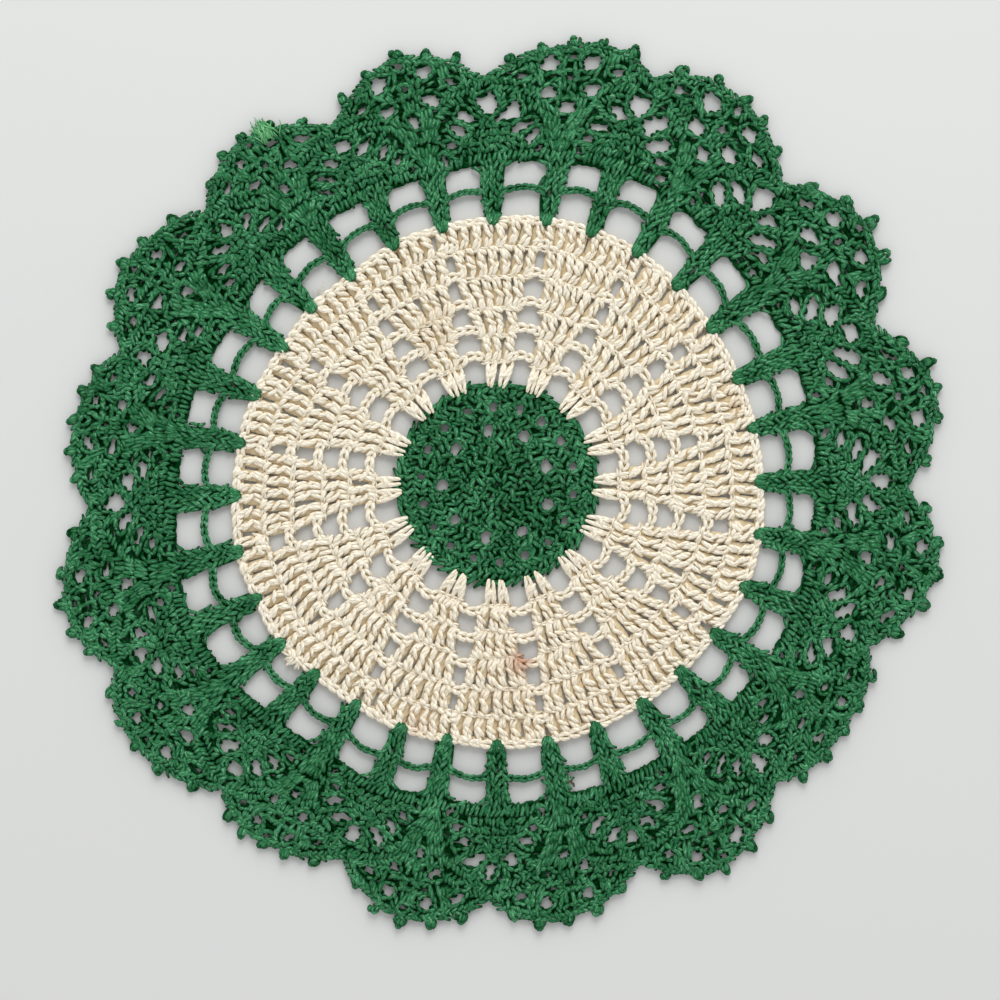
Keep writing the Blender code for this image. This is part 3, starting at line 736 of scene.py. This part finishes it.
borderSize = (0.50, 0.46)  # half width and half height of the thread
print("border has", len(openings), "openings")


# Stitches along ribbons, without those that would close an opening.
def stitch(bulk, template, rows, repeats=1, seed=1, rings=4, wobble=1.4, slip=0.0, thread=borderSize):
    paths = worked(template, rows, repeats=repeats, seed=seed, wobble=wobble, slip=slip, stray=0.13)
    bulk.append(strung(clear(openings, paths), rings, thread))


# Ribbons side by side from a foot to a top, along the line between them, loosened by draws.
def bunch(turns, foot, top, spans, count, side=1, seed=1, loose=0.25):
    move = seeded(seed).normal(0, loose, (len(turns), 2, 2))
    foot, top = (np.array((side * turn * step * radius, radius)) for turn, radius in (foot, top))
    upward = (top - foot) / np.linalg.norm(top - foot)
    across = np.array((upward[1], -upward[0]))
    ends = []
    for k, (spot, span) in enumerate(zip((foot, top), spans)):
        at = spot + move[:, None, k] + (sideBySide(count) * span)[None, :, None] * across
        turn = np.asarray(turns, float)[:, None] + at[..., 0] / (at[..., 1] * step)
        ends.append(ribbonPoint(turn, at[..., 1], span / count))
    return np.stack(ends, 1)


# A course of stitches through places of (turn, radius), loosened by draws: as many as its length holds.
def course(bulk, template, width, pitch, places, turns, side=1, seed=1, loose=0.22):
    places = np.array([(side * turn, radius) for turn, radius in places], float)
    flat = even(places[:, 0], places[:, 1])
    repeats = max(1, round(float(np.linalg.norm(np.diff(flat, axis=0), axis=1).sum()) / pitch))
    rows = ribbonsAt(turns, *[(turn, radius, 0.0, width) for turn, radius in places])
    move = seeded(seed).normal(0, loose, rows[..., :2].shape)
    rows[..., 0] += move[..., 0] / (rows[..., 1] * step)
    rows[..., 1] += move[..., 1]
    stitch(bulk, template, rows, repeats=repeats, seed=seed)


# Posts: two braids from the ring to the bar, three on to the band, wider to both ends, on flat strands.
postLook = {
    # rounds: radii and spans up the post, braids, length of a grain
    "rounds": (((65.0, 67.3, 69.8, 72.2), (3.2, 4.0, 4.9, 6.6), 2, 2.0),
               ((72.0, 74.6, 77.4, 80.6), (5.4, 4.9, 5.3, 7.6), 3, 2.4)),
    "lean": 0.3, "leanShares": (0, 0.5, 1, 1), "coreShare": 0.55, "coreTall": 0.36,
    "foot": ((0.0, 63.5, 0.4, 3.0), (0.0, 66.6, 0.1, 3.3)), "footThread": (0.52, 0.48),
    "bar": ((0.14, 72.0, 0.0, 1.5), (0.33, 72.6, 0.1, 1.5), (0.5, 72.9, 0.1, 1.5), (0.67, 72.6, 0.1, 1.5),
            (0.86, 72.0, 0.0, 1.5)),
    "barLinks": 6, "barThread": (0.42, 0.42), "barCore": (0.45, 0.34),
    # hems of the windows, left out up to the ring's end, at the bar's middle between two radii, and from
    # where the band begins: at a window's corners, and elsewhere
    "hemStrands": 12, "hemGrow": 0.42, "ringEnds": 66.1, "barSpan": (70.8, 74.6), "besideBar": 3.2,
    "windowCorner": 2.3, "bandFrom": (80.4, 78.6),
    # turn, radius, threads, spread, heading, curl, lengths, heights and seed, as looseThreads() takes them
    "burr": (25.26, 76.1, 5, (0.25, 0.25), (0.0, 2.5), (0.0, 0.24), (1.2, 2.0), (1.6, 1.2), 47),
    "burrThread": (0.28, 0.28),
}
postThreads, borderCores = [], []
for k, (radii, spans, count, pitch) in enumerate(postLook["rounds"]):
    lean = seeded(40 + k).normal(0, postLook["lean"], (posts, 1))
    rows = []
    for radius, span, share in zip(radii, spans, postLook["leanShares"]):
        turn = everyPost[:, None] + (sideBySide(count) * span + lean * share) / (radius * step)
        rows.append(ribbonPoint(turn, radius, span / count))
    rows, repeats = np.stack(rows, 1), round((radii[-1] - radii[0]) / pitch)
    stitch(postThreads, braid, rows, repeats=repeats, seed=40 + k, rings=5, slip=0.12)
    wide = sum(spans) / len(spans) / count * postLook["coreShare"]
    borderCores.append(flatStrands(core, rows, 5, (wide, postLook["coreTall"])))
feet = worked(footStitch, ribbonsAt(everyPost, *postLook["foot"]), seed=45)
postThreads.append(strung(feet, 5, postLook["footThread"]))
windowHems = hemmed(windows, postLook["hemStrands"], postLook["hemGrow"], seed=46)
hemTurn, hemRadius = polar(windowHems)
fromMiddle = (np.abs(hemTurn % 1 - 0.5) * step * hemRadius).min(1)
lowest, highest = hemRadius.min(1), hemRadius.max(1)
underBar, overBar = postLook["barSpan"]
offBar = (highest < underBar) | (lowest > overBar) | (fromMiddle > postLook["besideBar"])
offBand = highest < np.where(fromMiddle > postLook["windowCorner"], *postLook["bandFrom"])
beside = (lowest > postLook["ringEnds"]) & offBar & offBand
postThreads.append(strung(windowHems[beside], 4, borderSize))
postThreads.append(strung(looseThreads(*postLook["burr"]), 6, postLook["burrThread"]))
barRows = ribbonsAt(everyPost, *postLook["bar"])
chain = worked(link, barRows, repeats=postLook["barLinks"], seed=43)
postThreads.append(strung(chain, 5, postLook["barThread"]))
borderCores.append(flatStrands(lengthwise, barRows, 8, postLook["barCore"]))

# Band: a round of slanted stitches and a triangle of short rows over every dip.
bandLook = {
    "width": 3.3, "pitch": 1.2, "round": ((0.0, 81.1), (0.34, 81.1), (0.67, 81.1), (1.0, 81.1)),
    # triangle: from radius, to radius, stitches, span at the foot and at the top
    "triangle": (
        (82.6, 84.8, 9, 18.6, 17.8), (84.8, 86.8, 7, 14.6, 13.8), (86.8, 88.8, 5, 10.6, 9.8),
        (88.8, 90.7, 3, 6.6, 5.8), (90.7, 92.3, 1, 2.3, 2.1),
    ),
}
bandThreads = []
course(bandThreads, bandGrain, bandLook["width"], bandLook["pitch"], bandLook["round"], everyPost,
       seed=44, loose=0.1)
for k, (foot, top, count, footSpan, topSpan) in enumerate(bandLook["triangle"]):
    rows = rowOf(dips, count, foot, top, footSpan, topSpan, seed=50 + k)
    stitch(bandThreads, nub, rows, seed=55 + k, wobble=2.4)

# Fans and clusters of grains: turn and radius of the foot, of the top, both spans, columns, grains in one.
fanLook = {
    "thread": (0.57, 0.5244),
    "middle": (
        ((0.0, 81.6), (0.0, 87.6), (2.6, 8.6), 8, 2), ((0.0, 95.9), (0.0, 100.9), (3.6, 4.8), 4, 2),
        ((0.0, 103.5), (0.0, 107.3), (3.4, 4.4), 4, 1),
    ),
    "side": (
        ((0.12, 88.4), (0.25, 96.2), (3.4, 5.6), 5, 3), ((0.27, 100.4), (0.34, 104.2), (3.4, 4.6), 4, 1),
        ((0.50, 103.2), (0.50, 105.8), (2.4, 3.0), 3, 1),
    ),
}
fanThreads, fanHand = [], dict(rings=5, slip=0.3, thread=fanLook["thread"])
for k, (foot, top, spans, count, grains) in enumerate(fanLook["middle"]):
    rows = bunch(crests, foot, top, spans, count, seed=60 + k)
    stitch(fanThreads, grain, rows, repeats=grains, seed=60 + k, **fanHand)
for k, (foot, top, spans, count, grains) in enumerate(fanLook["side"]):
    for side in (-1, 1):
        rows = bunch(crests, foot, top, spans, count, side, seed=65 + 2 * k + side)
        stitch(fanThreads, grain, rows, repeats=grains, seed=80 + 2 * k + side, **fanHand)

# Lattice: the courses between the openings. Template, width, pitch, then places of turn and radius.
latticeLook = {
    "middle": (
        (twill, 1.9, 1.1, ((-0.28, 88.3), (0.0, 88.9), (0.28, 88.3))),
        (rope, 1.7, 1.2, ((-0.14, 96.0), (0.0, 96.5), (0.14, 96.0))),
        (rope, 1.7, 1.2, ((-0.24, 101.0), (0.0, 101.3), (0.24, 101.0))),
        (rope, 1.7, 1.2, ((-0.3, 103.6), (0.0, 103.6), (0.3, 103.6))),
    ),
    "side": (
        (twill, 2.2, 1.15, ((0.22, 95.6), (0.45, 97.2), (0.72, 98.4), (0.97, 99.0))),
        (twillBack, 2.2, 1.15, ((0.30, 97.0), (0.50, 99.0), (0.74, 100.2), (0.97, 100.3))),
        (twillBack, 1.9, 1.15, ((0.18, 90.2), (0.34, 93.4), (0.52, 95.4), (0.70, 96.9))),
        (braid, 2.1, 1.6, ((0.97, 91.0), (0.86, 93.6), (0.80, 96.4), (0.88, 98.2))),
        (rope, 1.5, 1.3, ((0.80, 89.0), (0.63, 90.9), (0.50, 93.0), (0.38, 95.0))),
        (rope, 1.5, 1.3, ((0.66, 86.6), (0.48, 88.0), (0.33, 90.2))),
        (rope, 1.5, 1.3, ((0.50, 84.4), (0.34, 84.9), (0.20, 87.4))),
        (rope, 1.8, 1.2, ((0.44, 83.2), (0.33, 84.0), (0.17, 84.6))),
        (rope, 1.7, 1.2, ((0.05, 101.2), (0.10, 102.5), (0.05, 103.6))),
        (rope, 1.8, 1.2, ((0.34, 104.4), (0.40, 105.6), (0.44, 107.2))),
        (rope, 1.8, 1.2, ((0.10, 106.4), (0.13, 108.2), (0.16, 109.9))),
        (rope, 1.8, 1.2, ((0.42, 101.6), (0.46, 102.8), (0.50, 104.6))),
        (rope, 1.8, 1.2, ((0.40, 100.6), (0.60, 100.5), (0.84, 100.7))),
    ),
}
latticeThreads = []
for k, (template, width, pitch, places) in enumerate(latticeLook["middle"]):
    course(latticeThreads, template, width, pitch, places, crests, seed=100 + k)
for k, (template, width, pitch, places) in enumerate(latticeLook["side"]):
    for side in (-1, 1):
        course(latticeThreads, template, width, pitch, places, crests, side, seed=120 + 2 * k + side)

# A hem round every opening of the scallops, and grains strewn over the ground, but not over the fans.
hemLook = {
    "grow": 0.5, "outlineShare": 3.9, "strandLength": 2.3, "fewest": 5,
    "strewn": (2000, (79.5, 111.0), (1.8, 2.9), (1.55, 1.8)),  # number, radii, lengths, heights
    "overEdge": 0.3, "fanTurn": 0.34, "fanRadius": 97,
}
hemThreads = []
for table, made in ((openingLook["middle"], middleOpenings), (openingLook["side"], sideOpenings)):
    byRow = made.reshape(-1, len(table), len(crests), made.shape[1])
    for k, row in enumerate(table):
        around = hemLook["outlineShare"] * (row[2] + row[3] + 2 * hemLook["grow"])
        count = max(hemLook["fewest"], round(around / hemLook["strandLength"]))
        hem = hemmed(byRow[:, k].reshape(-1, made.shape[1]), count, hemLook["grow"], seed=180 + k)
        hemThreads.append(strung(hem, 4, borderSize))
strewn = tangle(openings, lambda turn: edge(turn) + hemLook["overEdge"], *hemLook["strewn"], seed=170)
strewnTurn, strewnRadius = polar(strewn[:, 1:3, :2].mean(1))
overFan = (np.abs(strewnTurn % 2 - 1) < hemLook["fanTurn"]) & (strewnRadius < hemLook["fanRadius"])
hemThreads.append(strung(strewn[~overFan], 4, borderSize))

# Rim: an edge chain along each scallop, and its picots.
rimLook = {
    "width": 2.3, "pitch": 1.5, "overEdge": 0.1, "picots": (-0.70, -0.34, 0.0, 0.34, 0.70),
    "picotReach": (0.7, 2.9), "picotSpans": (2.7, 2.7), "picotThread": (0.58, 0.54),
}
rimThreads = []
edgePlaces = [(share, float(edge(1 + share)) + rimLook["overEdge"]) for share in np.linspace(0.0, 1.0, 7)]
for side in (-1, 1):
    course(rimThreads, braid, rimLook["width"], rimLook["pitch"], edgePlaces, crests, side, 150 + side, 0.15)
for k, turn in enumerate(rimLook["picots"]):
    foot, top = ((turn, float(edge(1 + turn)) + out) for out in rimLook["picotReach"])
    rows = bunch(crests, foot, top, rimLook["picotSpans"], 1, seed=160 + k, loose=0.5)
    knobs = worked(knob, rows, seed=95 + k, wobble=1.8, stray=0.08)
    rimThreads.append(strung(knobs, 5, rimLook["picotThread"]))

groundLook = {"radii": (80.0, 111.5, 1.45), "overEdge": 0.5, "grow": -0.5, "thread": (0.84, 0.38)}
borderGround = ground(openings, lambda turn: edge(turn) + groundLook["overEdge"],
                      np.arange(*groundLook["radii"]), groundLook["grow"], seed=7)
borderCores.append(strung(borderGround, 3, groundLook["thread"]))
borderCore = threadPiece("scallop_border_core", borderCores, greenThread)
borderPieces = [threadPiece(name, groups, greenThread) for name, groups in (
    ("border_posts", postThreads), ("border_band", bandThreads), ("border_fans", fanThreads),
    ("border_lattice", latticeThreads), ("border_hems", hemThreads), ("border_rim", rimThreads))]
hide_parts("scallop_border")
for piece in [borderCore] + borderPieces:
    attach(piece, "root")

# Loose ends: an untwisted green tuft at the rim, frayed cream ends and fine hairs at the ring's edge.
endsLook = {
    # values as for the burr
    "tuft": (10.72, 106.6, 36, (2.6, 0.8), (-0.06, 0.20), (0.06, 0.17), (5.0, 7.4), (2.4, 1.4), 301),
    "frayed": (19.45, 64.9, 11, (1.7, 0.5), (0.15, 0.45), (0.0, 0.18), (2.4, 3.9), (2.2, 1.2), 302),
    "hairs": (11.68, 64.9, 5, (0.8, 0.8), (0.4, 0.7), (0.0, 0.24), (2.5, 4.0), (1.8, 0.6), 303),
    "tuftThread": (0.21, 0.21), "frayedThread": (0.33, 0.33), "hairThread": (0.09, 0.09),
}
tuftThreads = [strung(looseThreads(*endsLook["tuft"]), 9, endsLook["tuftThread"], sides=4)]
frayedThreads = [strung(looseThreads(*endsLook["frayed"]), 8, endsLook["frayedThread"]),
                 strung(looseThreads(*endsLook["hairs"]), 9, endsLook["hairThread"], sides=4)]
tuft = threadPiece("loose_green_ends", tuftThreads, looseGreenThread)
frayed = threadPiece("loose_cream_ends", frayedThreads, creamThread)
for piece, slot in ((tuft, "green_thread"), (frayed, "cream_thread")):
    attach(piece, "root")

# The green medallion: rounds of slanted grains, with nine larger and eighteen smaller openings among them.
medallionLook = {
    # openings: first turn, number, strands in a hem, seed, then one row as for the border
    "openings": (
        (1.77, 9, 7, 3, ((0.0, 13.5, 1.75, 1.65, 90),)), (1.16, 18, 6, 4, ((0.0, 19.1, 1.35, 1.15, 90),)),
    ),
    # courses: template, radius, width, grains
    "courses": (
        (rope, 24.55, 1.6, 66), (twill, 22.9, 2.2, 84), (twillBack, 21.6, 2.4, 80), (twill, 19.8, 2.4, 72),
        (twillBack, 18.0, 2.4, 66), (twill, 16.2, 2.4, 58), (twillBack, 14.4, 2.4, 52),
        (twill, 12.4, 2.4, 44), (twillBack, 10.4, 2.4, 37), (twill, 8.4, 2.5, 30), (twillBack, 6.3, 2.6, 22),
        (twill, 4.2, 2.6, 14), (twillBack, 2.2, 2.6, 7),
    ),
    "thread": (0.54, 0.48), "hemThread": (0.46, 0.46), "hemGrow": 0.4, "strewnThread": (0.42, 0.42),
    "strewn": (900, (1.0, 24.4), (1.1, 1.8), (1.6, 1.85)), "strewnEnd": 25.0,
    "groundRadii": (1.2, 25.0, 1.5), "groundEnd": 25.2,
}
holes = [(openingsOf(rows, first + np.arange(number) * posts / number, False, seed, 0.5), strands)
         for first, number, strands, seed, rows in medallionLook["openings"]]
medallionOpenings = np.concatenate([made for made, strands in holes])
medallionThreads = []
for k, (template, radius, width, count) in enumerate(medallionLook["courses"]):
    rows = arcs(np.arange(count) * posts / count, posts / count / 2, radius, 0, width, (-1, 0, 1))
    paths = clear(medallionOpenings, worked(template, rows, wobble=2.2, stray=0.1, seed=200 + k))
    medallionThreads.append(strung(paths, 5, medallionLook["thread"]))
for made, strands in holes:
    hem = hemmed(made, strands, medallionLook["hemGrow"], seed=190)
    medallionThreads.append(strung(hem, 4, medallionLook["hemThread"]))
strewn = tangle(medallionOpenings, lambda turn: medallionLook["strewnEnd"], *medallionLook["strewn"],
                seed=191)
medallionThreads.append(strung(strewn, 3, medallionLook["strewnThread"]))
medallionGround = ground(medallionOpenings, lambda turn: medallionLook["groundEnd"],
                         np.arange(*medallionLook["groundRadii"]), 0.0, seed=8)
medallionCores = [strung(medallionGround, 3, groundLook["thread"])]
medallionCore = threadPiece("centre_medallion_core", medallionCores, greenThread)
medallionTop = threadPiece("centre_medallion_rounds", medallionThreads, greenThread)
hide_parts("centre_medallion")
for piece in (medallionCore, medallionTop):
    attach(piece, "root")

# A plain pale floor, a soft sky that is brighter toward the horizon, one large soft light and the camera.
stage = {
    "floorHalf": 2.0, "floorColour": (0.68, 0.69, 0.68, 1), "floorRoughness": 0.7,
    "sky": (1.0, 1.0, 1.0, 1), "skyOverhead": 0.37, "skyHorizon": 1.48,
    "keyPower": 9.5, "keySize": 0.8, "keyPlace": (0.10, 1.00, 0.75),
    "cameraHeight": 0.55, "lens": 79.8, "sensor": 36.0, "look": (-0.00022, -0.00412),
}
floorMesh = bpy.data.meshes.new("floor")
half = stage["floorHalf"]
floorCorners = [(-half, -half, 0), (half, -half, 0), (half, half, 0), (-half, half, 0)]
floorMesh.from_pydata(floorCorners, [], [(0, 1, 2, 3)])
floorFinish = bpy.data.materials.new("floor")
floorFinish.use_nodes = True
floorShader = floorFinish.node_tree.nodes["Principled BSDF"]
floorShader.inputs["Base Color"].default_value = stage["floorColour"]
floorShader.inputs["Roughness"].default_value = stage["floorRoughness"]
floorMesh.materials.append(floorFinish)
floor = shown("floor", floorMesh)

world = bpy.data.worlds.new("room")
bpy.context.scene.world = world
world.use_nodes = True
sky = world.node_tree
background = sky.nodes["Background"]
background.inputs[0].default_value = stage["sky"]
heading, apart, strength = (
    sky.nodes.new("ShaderNode" + kind) for kind in ("TexCoord", "SeparateXYZ", "MapRange"))
strength.inputs["To Min"].default_value = stage["skyHorizon"]
strength.inputs["To Max"].default_value = stage["skyOverhead"]
sky.links.new(heading.outputs["Generated"], apart.inputs[0])
sky.links.new(apart.outputs[2], strength.inputs[0])
sky.links.new(strength.outputs[0], background.inputs[1])

keyData = bpy.data.lights.new("key", "AREA")
keyData.energy, keyData.size = stage["keyPower"], stage["keySize"]
key = shown("key", keyData)
key.location = stage["keyPlace"]
x, y, z = stage["keyPlace"]
key.rotation_euler = (math.acos(z / math.hypot(x, y, z)), 0, math.atan2(-y, -x) - math.pi / 2)
cameraData = bpy.data.cameras.new("camera")
cameraData.lens, cameraData.sensor_width = stage["lens"], stage["sensor"]
camera = shown("camera", cameraData)
camera.location = (*stage["look"], stage["cameraHeight"])
bpy.context.scene.camera = camera
bpy.context.scene.view_settings.view_transform = "Standard"
print("stage set")
